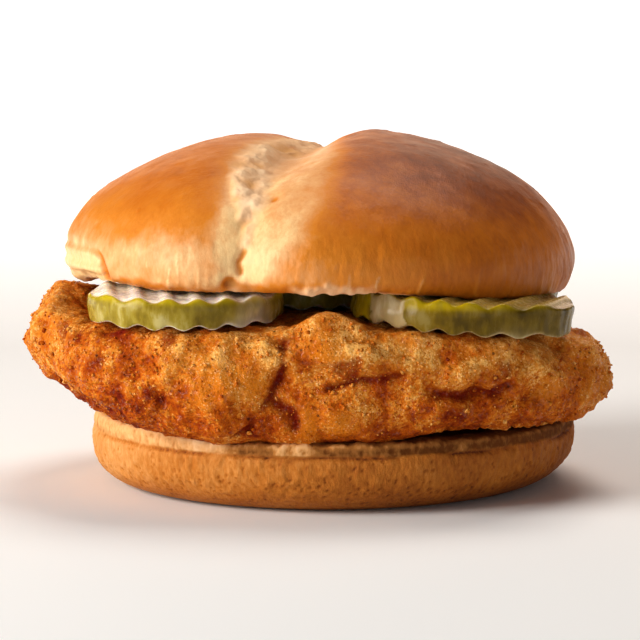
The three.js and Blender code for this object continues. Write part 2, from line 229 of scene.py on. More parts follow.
def lumps(points, grain, seed):
    """Smooth unevenness from about -1 to 1, whose lumps are about as wide as the grain."""
    place = points / grain
    base = np.floor(place)
    part = place - base
    fade = part**3 * (part * (part * 6 - 15) + 10)
    total = np.zeros(len(points))
    for corner in np.ndindex(2, 2, 2):
        slope = np.stack([hashed(base + corner, seed + axis) for axis in range(3)], 1) * 2 - 1
        weight = np.prod(np.where(corner, fade, 1 - fade), axis=1)
        total += weight * np.einsum("ij,ij->i", slope, part - corner)
    return total * 1.7


def fractal(points, grain, octaves, seed):
    """Lumps with finer and finer lumps on them."""
    return sum(lumps(points, grain / 2**i, seed + 10 * i) / 2**i for i in range(octaves))


def cells(points, size, seed):
    """Distances to the nearest and the next of scattered points, in cell sizes, and the nearest one's own
    random number."""
    place = points / size
    base = np.floor(place)
    nearest = np.full(len(points), 9.0)
    second = nearest.copy()
    own = np.zeros(len(points))
    for step in np.ndindex(3, 3, 3):
        cell = base + step - 1
        scattered = cell + np.stack([hashed(cell, seed + axis) for axis in range(3)], 1)
        distance = np.linalg.norm(place - scattered, axis=1)
        closer = distance < nearest
        second = np.where(closer, nearest, np.minimum(second, distance))
        own = np.where(closer, hashed(cell, seed + 3), own)
        nearest = np.where(closer, distance, nearest)
    return nearest, second, own


def warped(points, grain, reach, seed):
    """The points pushed about, so that a pattern laid over them loses its regular look."""
    push = np.stack([lumps(points, grain, seed + 20 * axis) for axis in range(3)], 1)
    return points + reach * push


def ease(value, start, end):
    """Rises smoothly from 0 to 1 as the value goes from start to end, whichever of them is larger."""
    share = np.clip((value - start) / (end - start), 0, 1)
    return share * share * (3 - 2 * share)


def swell(distance, width):
    """1 in the middle, fading away to both sides."""
    return np.exp(-((distance / width) ** 2))


def away_from(points, place):
    """Distance of each point from a place."""
    return np.linalg.norm(points - np.array(place), axis=1)


def spots(points, places):
    """1 in the middle of each place, fading to 0 past its reach."""
    return np.max([swell(away_from(points, at), reach) for at, reach in places], axis=0)


def from_line(points, line):
    """Distance of each point from a run of straight stretches."""
    nearest = np.full(len(points), 1e9)
    for start, end in zip(np.array(line[:-1]), np.array(line[1:])):
        along = end - start
        share = np.clip((points - start) @ along / (along @ along), 0, 1)
        nearest = np.minimum(nearest, np.linalg.norm(points - start - share[:, None] * along, axis=1))
    return nearest


# Meshes

class Surface:
    """A fine, even mesh over a solid's own form. Its points are millimetres until it is finished."""

    def __init__(self, node, name, grid, melting):
        """grid is the distance between its points, and melting the steps that round off the facets."""
        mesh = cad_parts[node].data.copy()
        welded = bmesh.new()
        welded.from_mesh(mesh)
        bmesh.ops.remove_doubles(welded, verts=welded.verts, dist=1e-6)
        welded.to_mesh(mesh)
        welded.free()
        self.piece = bpy.data.objects.new(name, mesh)
        bpy.context.scene.collection.objects.link(self.piece)
        remesh = self.piece.modifiers.new("even grid", "REMESH")
        remesh.mode = "VOXEL"
        remesh.voxel_size = grid * MM
        seen = self.piece.evaluated_get(bpy.context.evaluated_depsgraph_get())
        even = bpy.data.meshes.new_from_object(seen)
        self.piece.modifiers.clear()
        self.piece.data = even
        even.materials.clear()
        self.mesh = even
        edges = np.empty(2 * len(even.edges), np.int64)
        even.edges.foreach_get("vertices", edges)
        self.edges = edges.reshape(-1, 2)
        points = np.empty(3 * len(even.vertices), np.float32)
        even.vertices.foreach_get("co", points)
        self.points = self.melted(points.reshape(-1, 3).astype(float) / MM, melting)
        self.refresh()
        # Where each point lies before any relief, and which way it faces: p and n in the pieces below
        self.home = self.points.copy()
        self.facing = self.normals.copy()

    def melted(self, values, steps):
        """Each point's value, moved halfway to the average of its neighbours' again and again."""
        values = values.copy()
        first, second = self.edges.T
        count = np.bincount(self.edges.ravel(), minlength=len(values))
        columns = values.reshape(len(values), -1)
        for _ in range(steps):
            for column in columns.T:
                total = np.bincount(first, column[second], len(values))
                total += np.bincount(second, column[first], len(values))
                column += 0.5 * (total / count - column)
        return values

    def refresh(self):
        """Writes the points into the mesh and reads its normals."""
        self.mesh.vertices.foreach_set("co", (self.points * MM).astype(np.float32).ravel())
        self.mesh.update()
        normals = np.empty(3 * len(self.mesh.vertices), np.float32)
        self.mesh.vertex_normals.foreach_get("vector", normals)
        self.normals = normals.reshape(-1, 3).astype(float)

    def push(self, height):
        """Moves each point out along its normal."""
        self.points = self.points + height[:, None] * self.normals
        self.refresh()

    def mark(self, name, values):
        """Keeps a value at each point for the material."""
        layer = self.mesh.attributes.new(name, "FLOAT", "POINT")
        layer.data.foreach_set("value", np.clip(values, 0, 1).astype(np.float32))

    def hollows(self, steps):
        """How far each point lies above or below its surroundings, in millimetres."""
        level = self.melted(self.points, steps)
        return np.einsum("ij,ij->i", self.points - level, self.normals)

    def finish(self, material, slot, *nodes):
        """Gives the piece its material and its place in the frame."""
        self.mesh.materials.append(material)
        self.mesh.polygons.foreach_set("use_smooth", np.ones(len(self.mesh.polygons), bool))
        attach(self.piece, "root")
        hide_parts(*nodes)
        return self.piece


# Materials

# A Mix node's sockets go by number: the share of the second, two values or two colours, and the result.
SHARE = 0
VALUE_A, VALUE_B, MIXED_VALUE = 2, 3, 0
COLOUR_A, COLOUR_B, MIXED_COLOUR = 6, 7, 2


def linear(colour):
    """An sRGB hex colour as the linear values that a shader takes."""
    parts = [int(colour[i:i + 2], 16) / 255 for i in (1, 3, 5)]
    return [c / 12.92 if c <= 0.04045 else ((c + 0.055) / 1.055) ** 2.4 for c in parts] + [1.0]


def add(tree, kind, inputs=None, stops=None, **settings):
    """Adds a node. An input is a value or a node's output, and stops are a ramp's places and colours."""
    made = tree.nodes.new(kind)
    for name, value in settings.items():
        setattr(made, name, value)
    for socket, value in (inputs or {}).items():
        if isinstance(value, bpy.types.NodeSocket):
            tree.links.new(value, made.inputs[socket])
        else:
            made.inputs[socket].default_value = value
    if stops:
        while len(made.color_ramp.elements) < len(stops):
            made.color_ramp.elements.new(0.5)
        for element, (place, colour) in zip(made.color_ramp.elements, stops):
            element.position = place
            element.color = linear(colour)
    return made


def new_material(name):
    """An empty material and its node tree."""
    material = bpy.data.materials.new(name)
    material.use_nodes = True
    material.node_tree.nodes.clear()
    return material, material.node_tree


def grains_per_metre(size):
    """A texture's scale, from the width of its grain in millimetres."""
    return 1 / (size * MM)


def baked_crust(name, tones, crumb_tones, roughness, specular, grain_depth, freckling):
    """Milk bread crust, baked, the crown's under a brushed egg wash: a smooth, satin skin that browns where
    the heat reached it most and darkens where shade is painted into it, with faint mottling and pin-sized
    pores. Torn and cut crumb is matt and pale."""
    material, tree = new_material(name)
    place = add(tree, "ShaderNodeTexCoord").outputs["Object"]
    browning, crumb, height = (
        add(tree, "ShaderNodeAttribute", attribute_name=mark).outputs["Fac"]
        for mark in ("browning", "crumb", "height"))

    # The skin stretched upwards as the bun rose, and its marks with it. Real pores are 0.2 to 0.4 mm wide;
    # these freckles and pores are 0.6 to 0.8 mm, so that they show.
    mottle = add(tree, "ShaderNodeTexNoise", {
        "Vector": place, "Scale": grains_per_metre(5.0), "Detail": 5.0, "Roughness": 0.6})
    risen = add(tree, "ShaderNodeVectorMath", {0: place, 1: (1.0, 1.0, 0.5)}, operation="MULTIPLY")
    freckle = add(tree, "ShaderNodeTexNoise", {
        "Vector": risen.outputs["Vector"], "Scale": grains_per_metre(0.8), "Detail": 3.0, "Roughness": 0.6})
    uneven = add(tree, "ShaderNodeMath", {
        0: mottle.outputs["Fac"], 1: MOTTLING, 2: -MOTTLING / 2}, operation="MULTIPLY_ADD")
    fine = add(tree, "ShaderNodeMath", {
        0: freckle.outputs["Fac"], 1: freckling, 2: -freckling / 2}, operation="MULTIPLY_ADD")
    both = add(tree, "ShaderNodeMath", {0: uneven.outputs[0], 1: fine.outputs[0]}, operation="ADD")
    baked = add(tree, "ShaderNodeMath", {0: browning, 1: both.outputs[0]}, operation="ADD", use_clamp=True)
    crust = add(tree, "ShaderNodeValToRGB", {"Fac": baked.outputs[0]}, tones)

    lifted = add(tree, "ShaderNodeMath", {0: height, 1: fine.outputs[0]}, operation="ADD", use_clamp=True)
    inside = add(tree, "ShaderNodeValToRGB", {"Fac": lifted.outputs[0]}, crumb_tones)
    colour = add(tree, "ShaderNodeMix", {
        SHARE: crumb, COLOUR_A: crust.outputs["Color"], COLOUR_B: inside.outputs["Color"]}, data_type="RGBA")

    rough_skin = add(tree, "ShaderNodeMapRange", {
        "Value": mottle.outputs["Fac"], "From Min": 0.3, "From Max": 0.7,
        "To Min": roughness, "To Max": roughness + 0.12})
    rough = add(tree, "ShaderNodeMix", {
        SHARE: crumb, VALUE_A: rough_skin.outputs["Result"], VALUE_B: CRUMB_ROUGHNESS})

    pores = add(tree, "ShaderNodeTexNoise", {
        "Vector": risen.outputs["Vector"], "Scale": grains_per_metre(0.6), "Detail": 4.0, "Roughness": 0.7})
    sponge = add(tree, "ShaderNodeTexVoronoi", {
        "Vector": place, "Scale": grains_per_metre(0.8), "Randomness": 1.0}, feature="SMOOTH_F1")
    relief = add(tree, "ShaderNodeMix", {
        SHARE: crumb, VALUE_A: pores.outputs["Fac"], VALUE_B: sponge.outputs["Distance"]})
    depth = add(tree, "ShaderNodeMapRange", {
        "Value": crumb, "To Min": grain_depth * MM, "To Max": 0.18 * MM})
    bump = add(tree, "ShaderNodeBump", {
        "Height": relief.outputs[MIXED_VALUE], "Distance": depth.outputs["Result"], "Strength": 0.8})
    skin = add(tree, "ShaderNodeBsdfPrincipled", {
        "Base Color": colour.outputs[MIXED_COLOUR], "Roughness": rough.outputs[MIXED_VALUE],
        "Normal": bump.outputs["Normal"], "IOR": 1.45, "Specular IOR Level": specular})
    add(tree, "ShaderNodeOutputMaterial", {"Surface": skin.outputs["BSDF"]})
    return material


def fried_breading():
    """Seasoned flour breading, deep fried: a rough crust of fused crumbs, golden on the high grains, with
    painted shade that turns it rust brown between them and dark red in the creases, painted glints on the
    sandy places, and a thin film of oil that glints from grain to grain."""
    material, tree = new_material("fried_flour_breading")
    place = add(tree, "ShaderNodeTexCoord").outputs["Object"]
    height, glaze, pale, crease = (
        add(tree, "ShaderNodeAttribute", attribute_name=mark).outputs["Fac"]
        for mark in ("height", "glaze", "pale", "crease"))

    # Flour grains that fused in the oil, each of its own tone. Real ones are 0.1 to 0.3 mm wide; these are
    # 0.4 mm, so that they show.
    grain = add(tree, "ShaderNodeTexVoronoi", {
        "Vector": place, "Scale": grains_per_metre(0.4), "Randomness": 1.0}, feature="F1")
    tone = add(tree, "ShaderNodeSeparateColor", {"Color": grain.outputs["Color"]})
    crumb = add(tree, "ShaderNodeTexNoise", {
        "Vector": place, "Scale": grains_per_metre(1.1), "Detail": 4.0, "Roughness": 0.7})
    patch = add(tree, "ShaderNodeTexNoise", {
        "Vector": place, "Scale": grains_per_metre(5.5), "Detail": 4.0, "Roughness": 0.6})
    sandy = add(tree, "ShaderNodeMapRange", {
        "Value": patch.outputs["Fac"], "From Min": 0.42, "From Max": 0.62,
        "To Min": 0.12, "To Max": 0.45})
    level = add(tree, "ShaderNodeMath", {0: tone.outputs["Red"], 1: 0.5}, operation="SUBTRACT")
    fine = add(tree, "ShaderNodeMath", {
        0: level.outputs[0], 1: sandy.outputs["Result"]}, operation="MULTIPLY")
    lumpy = add(tree, "ShaderNodeMath", {0: crumb.outputs["Fac"], 1: 0.8, 2: -0.4}, operation="MULTIPLY_ADD")
    wide = add(tree, "ShaderNodeMath", {
        0: patch.outputs["Fac"], 1: 1.5, 2: lumpy.outputs[0]}, operation="MULTIPLY_ADD")
    both = add(tree, "ShaderNodeMath", {0: fine.outputs[0], 1: wide.outputs[0]}, operation="ADD")
    lifted = add(tree, "ShaderNodeMath", {0: height, 1: both.outputs[0]}, operation="ADD")
    paler = add(tree, "ShaderNodeMath", {0: pale, 1: 0.22, 2: lifted.outputs[0]}, operation="MULTIPLY_ADD")
    shown = add(tree, "ShaderNodeMath", {0: paler.outputs[0], 1: 0.77}, operation="SUBTRACT", use_clamp=True)
    crust = add(tree, "ShaderNodeValToRGB", {"Fac": shown.outputs[0]}, BREADING_TONES)
    smooth = add(tree, "ShaderNodeMix", {
        SHARE: glaze, COLOUR_A: crust.outputs["Color"], COLOUR_B: linear(GLAZE_TONE)}, data_type="RGBA")
    # Painted shade: the creases turn dark red, and the spots that fried dark take the same tone.
    dark = add(tree, "ShaderNodeMix", {
        SHARE: crease, COLOUR_A: smooth.outputs[MIXED_COLOUR], COLOUR_B: linear(CREASE_TONE)},
        data_type="RGBA")

    # Painted highlights: pale specks, about 0.3 mm across, in drifts on the high, sandy places, as glints of
    # light on the oil.
    speck = add(tree, "ShaderNodeTexVoronoi", {
        "Vector": place, "Scale": grains_per_metre(0.62), "Randomness": 1.0}, feature="F1")
    small = add(tree, "ShaderNodeMapRange", {
        "Value": speck.outputs["Distance"], "From Min": 0.16, "From Max": 0.3,
        "To Min": 1.0, "To Max": 0.0})
    drift = add(tree, "ShaderNodeMapRange", {
        "Value": shown.outputs[0], "From Min": 0.42, "From Max": 0.8, "To Min": 0.0, "To Max": 0.75})
    salted = add(tree, "ShaderNodeMath", {
        0: small.outputs["Result"], 1: drift.outputs["Result"]}, operation="MULTIPLY")
    specked = add(tree, "ShaderNodeMix", {
        SHARE: salted.outputs[0], COLOUR_A: dark.outputs[MIXED_COLOUR], COLOUR_B: linear(SALT_TONE)},
        data_type="RGBA")

    # Ground pepper: scattered dark flecks, about 0.5 mm across and 4 mm apart.
    pepper = add(tree, "ShaderNodeTexVoronoi", {
        "Vector": place, "Scale": grains_per_metre(3.6), "Randomness": 1.0}, feature="F1")
    fleck = add(tree, "ShaderNodeMapRange", {
        "Value": pepper.outputs["Distance"], "From Min": 0.06, "From Max": 0.1,
        "To Min": 0.7, "To Max": 0.0})
    colour = add(tree, "ShaderNodeMix", {
        SHARE: fleck.outputs["Result"], COLOUR_A: specked.outputs[MIXED_COLOUR],
        COLOUR_B: linear(PEPPER_TONE)}, data_type="RGBA")

    # The oil lies on the crust in separate specks, about as wide as the grains.
    film = add(tree, "ShaderNodeTexNoise", {
        "Vector": place, "Scale": grains_per_metre(0.7), "Detail": 1.0, "Roughness": 0.5})
    oil = add(tree, "ShaderNodeMapRange", {
        "Value": film.outputs["Fac"], "From Min": 0.56, "From Max": 0.63, "To Min": 0.0, "To Max": 1.0})
    pooled = add(tree, "ShaderNodeMath", {0: glaze, 1: 0.25}, operation="MULTIPLY")
    wet = add(tree, "ShaderNodeMath", {0: oil.outputs["Result"], 1: pooled.outputs[0]}, operation="MAXIMUM")
    rough = add(tree, "ShaderNodeMix", {SHARE: glaze, VALUE_A: 0.75, VALUE_B: 0.4})
    bump = add(tree, "ShaderNodeBump", {
        "Height": crumb.outputs["Fac"], "Distance": 0.7 * MM, "Strength": 1.0})
    skin = add(tree, "ShaderNodeBsdfPrincipled", {
        "Base Color": colour.outputs[MIXED_COLOUR], "Roughness": rough.outputs[MIXED_VALUE],
        "Normal": bump.outputs["Normal"], "IOR": 1.47, "Specular IOR Level": 0.08,
        "Coat Weight": wet.outputs[0], "Coat Roughness": 0.16, "Coat IOR": 1.47,
        "Coat Normal": bump.outputs["Normal"]})
    add(tree, "ShaderNodeOutputMaterial", {"Surface": skin.outputs["BSDF"]})
    return material


def brined_cucumber(name, skin_tones, crest_tone, flesh_tones):
    """Cucumber pickled in brine: wet, slightly see-through olive skin with soft patches and yellower crests,
    and smooth pale flesh that lets light through, so the rim looks soft under its sharp highlights."""
    material, tree = new_material(name)
    place = add(tree, "ShaderNodeTexCoord").outputs["Object"]
    skin, crest = (
        add(tree, "ShaderNodeAttribute", attribute_name=mark).outputs["Fac"] for mark in ("skin", "crest"))
    # The skin's streaks are about twice as long as wide.
    streaked = add(tree, "ShaderNodeVectorMath", {0: place, 1: (1.0, 1.0, 0.45)}, operation="MULTIPLY")
    streaks = add(tree, "ShaderNodeTexNoise", {
        "Vector": streaked.outputs["Vector"], "Scale": grains_per_metre(1.5), "Detail": 4.0,
        "Roughness": 0.6})
    patch = add(tree, "ShaderNodeTexNoise", {
        "Vector": place, "Scale": grains_per_metre(6.0), "Detail": 2.0, "Roughness": 0.5})
    blend = add(tree, "ShaderNodeMix", {
        SHARE: 0.6, VALUE_A: streaks.outputs["Fac"], VALUE_B: patch.outputs["Fac"]})
    olive = add(tree, "ShaderNodeValToRGB", {"Fac": blend.outputs[MIXED_VALUE]}, skin_tones)
    ridged = add(tree, "ShaderNodeMix", {
        SHARE: crest, COLOUR_A: olive.outputs["Color"], COLOUR_B: linear(crest_tone)}, data_type="RGBA")
    flesh = add(tree, "ShaderNodeValToRGB", {"Fac": blend.outputs[MIXED_VALUE]}, flesh_tones)
    colour = add(tree, "ShaderNodeMix", {
        SHARE: skin, COLOUR_A: flesh.outputs["Color"], COLOUR_B: ridged.outputs[MIXED_COLOUR]},
        data_type="RGBA")
    rough = add(tree, "ShaderNodeMapRange", {
        "Value": streaks.outputs["Fac"], "From Min": 0.35, "From Max": 0.65,
        "To Min": 0.16, "To Max": 0.34})
    depth = add(tree, "ShaderNodeMapRange", {"Value": skin, "To Min": 0.01 * MM, "To Max": 0.16 * MM})
    bump = add(tree, "ShaderNodeBump", {
        "Height": streaks.outputs["Fac"], "Distance": depth.outputs["Result"], "Strength": 0.6})
    wet = add(tree, "ShaderNodeBsdfPrincipled", {
        "Base Color": colour.outputs[MIXED_COLOUR], "Roughness": rough.outputs["Result"],
        "Normal": bump.outputs["Normal"], "IOR": 1.38, "Specular IOR Level": 0.28,
        "Subsurface Weight": 0.3, "Subsurface Scale": 1.5 * MM, "Subsurface Radius": (1.0, 0.8, 0.3)})
    add(tree, "ShaderNodeOutputMaterial", {"Surface": wet.outputs["BSDF"]})
    return material


# The pieces

def seam_place(points):
    """Where points lie on the crown's seam: degrees up the dome, and millimetres to the left of its line."""
    ahead = (SEAM_FOOT - CROWN_MIDDLE) / np.linalg.norm(SEAM_FOOT - CROWN_MIDDLE)
    out = points[:, :2] - CROWN_MIDDLE
    run = out @ ahead
    left = out[:, 0] * ahead[1] - out[:, 1] * ahead[0]
    up = np.degrees(np.arctan2((points[:, 2] - CROWN_WIDEST) / CROWN_DOME, run / CROWN_RADIUS))
    return np.where(up < -90, up + 360, up), left


def past_border(up, left, left_reach, right_reach):
    """How far points of the crown lie outside a border along the seam, below 0 for those inside it."""
    return np.maximum(
        left - np.interp(up, SEAM_ANGLES, left_reach),
        -left - np.interp(up, SEAM_ANGLES, right_reach))


def above_edge(points):
    """How far points of the crown lie above its lower edge."""
    out = points[:, :2] - CROWN_MIDDLE
    bearing = np.degrees(np.arctan2(out[:, 1], out[:, 0])) % 360
    return points[:, 2] - np.interp(bearing, np.arange(9) * 45, CROWN_EDGE + CROWN_EDGE[:1])


def bun_crown():
    """The glossy upper half: two buns that grew together, with stretched skin and torn crumb along their
    seam."""
    crown = Surface("bun_crown", "crown_crust", CROWN_GRID, CROWN_MELTING)
    p, n = crown.home, crown.facing
    above = above_edge(p)
    up, left = seam_place(p)
    ragged = 0.9 * fractal(p, 3.0, 3, 5)
    past_crumb = past_border(up, left, CRUMB_LEFT, CRUMB_RIGHT)
    past_skin = past_border(up, left, SKIN_LEFT, SKIN_RIGHT)
    # The underside is cut, and all the rest is dome.
    on_dome = ease(n[:, 2], -0.99, -0.93)
    # Towards the top the torn crumb passes into skin less abruptly.
    gradual = 1 + 1.2 * ease(up, 35, 60)
    torn = ease((past_crumb + ragged) / gradual, 1.2, -1.4) * on_dome
    stretched = ease(past_skin + 1.2 * lumps(p, 5.0, 58), 2.4, -4.6) * on_dome
    cut = 1 - on_dome

    # Along the seam: soft lumps and pale tufts, and a swelling and a lip beside the left bun
    soft = fractal(warped(p, 4.0, 1.4, 31), 3.4, 2, 7)
    tufts = spots(p, SEAM_TUFTS)
    toasted = spots(p, SEAM_TOASTED)
    fold_line = left - np.interp(up, SEAM_ANGLES, CRUMB_LEFT)
    crumb_relief = 0.2 + 0.5 * soft + 0.5 * tufts - 0.15 * toasted
    crumb_relief += 0.3 * swell(fold_line + 1.5, 2.5)
    lip = 0.2 * swell(fold_line - 1.6, 1.6) * ease(up, 4, 12) * ease(up, 34, 24)

    dents = sum(depth * swell(away_from(p, at), reach) for at, reach, depth in CROWN_DENTS)
    slit = 0.9 * swell(from_line(p, SEAM_SLIT), 0.8)
    front = ease(n[:, 1], -0.1, -0.4)
    wrinkles = np.zeros(len(p))
    broken = 0.7 + 0.7 * lumps(p, 1.6, 93)
    for x, lean, depth, height in EDGE_WRINKLES:
        share = np.clip(above / height, 0, 1)
        # Each mark wanders in its own way.
        line = x + lean * share + 0.5 * lumps(p, 3.0, int(90 + x))
        wrinkles += depth * broken * swell(p[:, 0] - line, 0.36) * ease(share, 1.0, 0.3) * front

    # At the left end the crust folds under and is tucked in.
    fold_end = ease(p[:, 0] + 0.35 * (p[:, 2] - 44.0), -44.5, -46.0) * ease(p[:, 1], 6.0, -8.0)
    fold = 0.25 * np.cos((p[:, 2] - 48.4) * 2 * math.pi / 3.2) - 0.3
    fold = fold * ease(p[:, 2], 51.5, 49.0) * fold_end
    tuck = swell(p[:, 0] + 44.6 + 0.42 * (p[:, 2] - 44.0), 0.8) * ease(p[:, 2], 50.0, 48.0) * front

    # The skin swells gently, with flat blisters. Near its lower edge it is drawn into fine upright wrinkles,
    # and a band along the edge itself is painted dark as shade.
    skin = 0.4 * lumps(p, 17.0, 3) + 0.1 * fractal(p, 5.0, 2, 8)
    blister, _, size = cells(warped(p, 3.0, 0.8, 66), 2.6, 71)
    skin += 0.16 * ease(blister, 0.35, 0.0) * ease(size, 0.5, 0.9)
    drawn = ease(above, 16.0, 5.0)
    fine_wrinkles = 0.14 * fractal(warped(p, 4.0, 0.8, 19) * (1, 1, 0.2), 1.5, 2, 37) * drawn
    under = ease(above + 0.8 * fractal(p, 3.0, 2, 27), 2.6, 0.8)

    # In the middle of the front edge the crust is torn away, and a fringe of crumb shows.
    torn_edge = ease(above + 0.7 * fractal(p, 2.0, 2, 28), 2.3, 1.2)
    torn_edge = torn_edge * ease(np.abs(p[:, 0]), 9.5, 5.0) * front
    frayed = (0.2 + 0.5 * fractal(p, 1.3, 2, 90)) * torn_edge
    full_at, full_reach, full_height = CROWN_SHOULDER
    shoulder = full_height * swell(away_from(p, full_at), full_reach)
    skin_relief = skin + fine_wrinkles + frayed + 0.5 * wrinkles + fold - 1.2 * tuck + lip + shoulder
    cut_relief = 0.3 * fractal(p, 2.0, 3, 91)
    relief = on_dome * (1 - torn) * skin_relief + torn * crumb_relief - dents - slit
    crown.push(relief + cut * cut_relief)

    # The soft bun sags over the slices along its front edge.
    sagging = ease(above, 5.0, 1.0) * ease(n[:, 1], 0.1, -0.3) * ease(p[:, 0], -44.0, -34.0)
    sag = CROWN_SAG + CROWN_SAG_MIDDLE * ease(p[:, 0], 5.0, 15.0)
    sag += CROWN_SAG_RIGHT * ease(p[:, 0], 18.0, 32.0)
    crown.points[:, 2] -= sag * sagging
    crown.refresh()

    hollow = crown.hollows(12)
    # The pit in the seam keeps some crust.
    pit = swell(away_from(p, CROWN_DENTS[0][0]), 1.3)
    # Painted shade: the crumb is darker in its hollows, and darker still in the slit and the dents.
    seam_height = 0.66 + 0.35 * hollow + 0.2 * tufts - 0.28 * toasted
    crown.mark("height", seam_height - 0.5 * ease(slit + dents, 0.2, 1.0))
    crown.mark("crumb", np.maximum(np.maximum(torn, cut), 0.75 * torn_edge) * (1 - 0.8 * pit))
    # The crust is browner towards the top, and pale where it stretched.
    browning = 0.28 + 0.3 * ease(p[:, 2], 49.6, 65.6) * (1 - 0.7 * stretched)
    browning += 0.06 * lumps(p, 14.0, 17) + 0.07 * fractal(p, 4.0, 2, 18)
    # Darker towards the right: partly browner crust, partly painted shade on the side turned from the key
    # softbox.
    browning += 0.31 * ease(p[:, 0], -20.0, 32.0) + 0.08 * ease(p[:, 1], -10.0, 10.0)
    # It is pale low on the left too, and painted dark as shade in the tuck, the dents and the slit.
    pale_end = ease(above, 14.0, 5.0) * ease(p[:, 0], -12.0, -30.0)
    browning -= 0.17 * ease(pale_end + 0.25 * fractal(p, 3.0, 3, 29), 0.1, 0.9)
    browning -= 0.3 * stretched
    browning -= 0.25 * fold_end * ease(p[:, 2], 49.0, 47.0)
    browning += 0.5 * tuck
    # The stretch marks are painted pale, a highlight where the key softbox catches their ridges.
    browning += 0.5 * ease(slit + dents, 0.3, 1.0) - 0.3 * ease(wrinkles, 0.05, 0.35)
    # Painted shade: a dark band along the lower edge, fading out towards the right.
    browning += 0.32 * under * (1 - torn_edge) * (1 - fold_end) * ease(p[:, 0], 25.0, -5.0)
    crown.mark("browning", browning)
    crust = baked_crust(
        "egg_washed_crust", CROWN_TONES, CROWN_CRUMB_TONES, roughness=0.33, specular=0.27, grain_depth=0.16,
        freckling=0.22)
    crown.finish(crust, "bun_crown", "bun_crown")


def bun_heel():
    """The lower half: a dull, close-grained crust under a pale, spongy cut rim."""
    heel = Surface("bun_heel", "heel_crust", HEEL_GRID, MELTING)
    p, n = heel.home, heel.facing
    out = np.hypot(p[:, 0], p[:, 1])
    wave = 0.35 * lumps(p * (1, 1, 0), 9.0, 4)
    uneven = 0.3 * fractal(p * (1, 1, 0), 2.6, 2, 61)
    crumb = ease(p[:, 2] - wave - uneven, HEEL_CREASE + 0.1, HEEL_CREASE + 0.6)
    sponge, _, own = cells(warped(p, 2.0, 0.5, 3), 1.7, 21)
    tufts = spots(p, HEEL_TUFTS)
    fluff = 0.35 + 0.4 * fractal(p, 1.4, 2, 29)
    crumb_relief = 0.3 * fractal(p, 2.4, 3, 23) - 0.25 * ease(sponge, 0.5, 0.1) * own + fluff * tufts
    # The crumb stands up against the fillet.
    crumb_relief += 0.5 * ease(n[:, 2], 0.3, 0.9)
    # A broken crease parts it from the crust, which is finely wrinkled, with more pores low down.
    crease = 0.4 * swell(p[:, 2] - wave - HEEL_CREASE, 0.3) * ease(out, 46.0, 49.0)
    crease = crease * ease(lumps(p * (1, 1, 0), 11.0, 51), -0.3, 0.15)
    wrinkled = 0.26 * fractal(warped(p, 3.0, 0.6, 9) * (1, 1, 0.35), 1.3, 2, 33)
    gentle = 0.25 * lumps(p, 12.0, 6)
    pit, _, chance = cells(p, 1.0, 44)
    low = ease(p[:, 2], 9.0, 3.5)
    pores = 0.28 * ease(pit, 0.42, 0.15) * ease(chance, 0.55 - 0.35 * low, 0.8 - 0.35 * low)
    side = ease(n[:, 2], -0.9, -0.4)
    rim = ease(out, 42.0, 46.0)
    spongy = 0.4 + 0.6 * ease(p[:, 0], -42.0, -28.0)
    crust_relief = wrinkled + gentle - pores
    heel.push((1 - crumb) * side * crust_relief + crumb * crumb_relief * rim * spongy - crease)

    hollow = heel.hollows(10)
    # Painted shade: the crumb rim is darker in its hollows and from the left end towards the right.
    shaded = 0.4 * ease(p[:, 0], -28.0, -12.0) + 0.2 * ease(p[:, 0], 0.0, 30.0)
    heel.mark("height", 0.5 + 0.9 * hollow - shaded + 0.35 * tufts)
    heel.mark("crumb", crumb)
    # Darker towards the right, turned from the key softbox, and in the hollows: painted shade. Darker too in
    # the crease and the pores, and paler at the left end.
    browning = 0.42 + 0.1 * lumps(p, 11.0, 19) + 0.14 * ease(p[:, 2], 6.0, 1.0)
    browning += 0.3 * ease(crease, 0.1, 0.4)
    browning += 0.22 * ease(p[:, 0], -25.0, 30.0) - 0.22 * ease(p[:, 0], -30.0, -46.0)
    browning += 0.22 * ease(pores, 0.05, 0.2) - 0.25 * hollow
    heel.mark("browning", browning)
    crust = baked_crust(
        "dull_pan_crust", HEEL_TONES, HEEL_CRUMB_TONES, roughness=0.55, specular=0.2, grain_depth=0.4,
        freckling=0.6)
    heel.finish(crust, "bun_heel", "bun_heel")


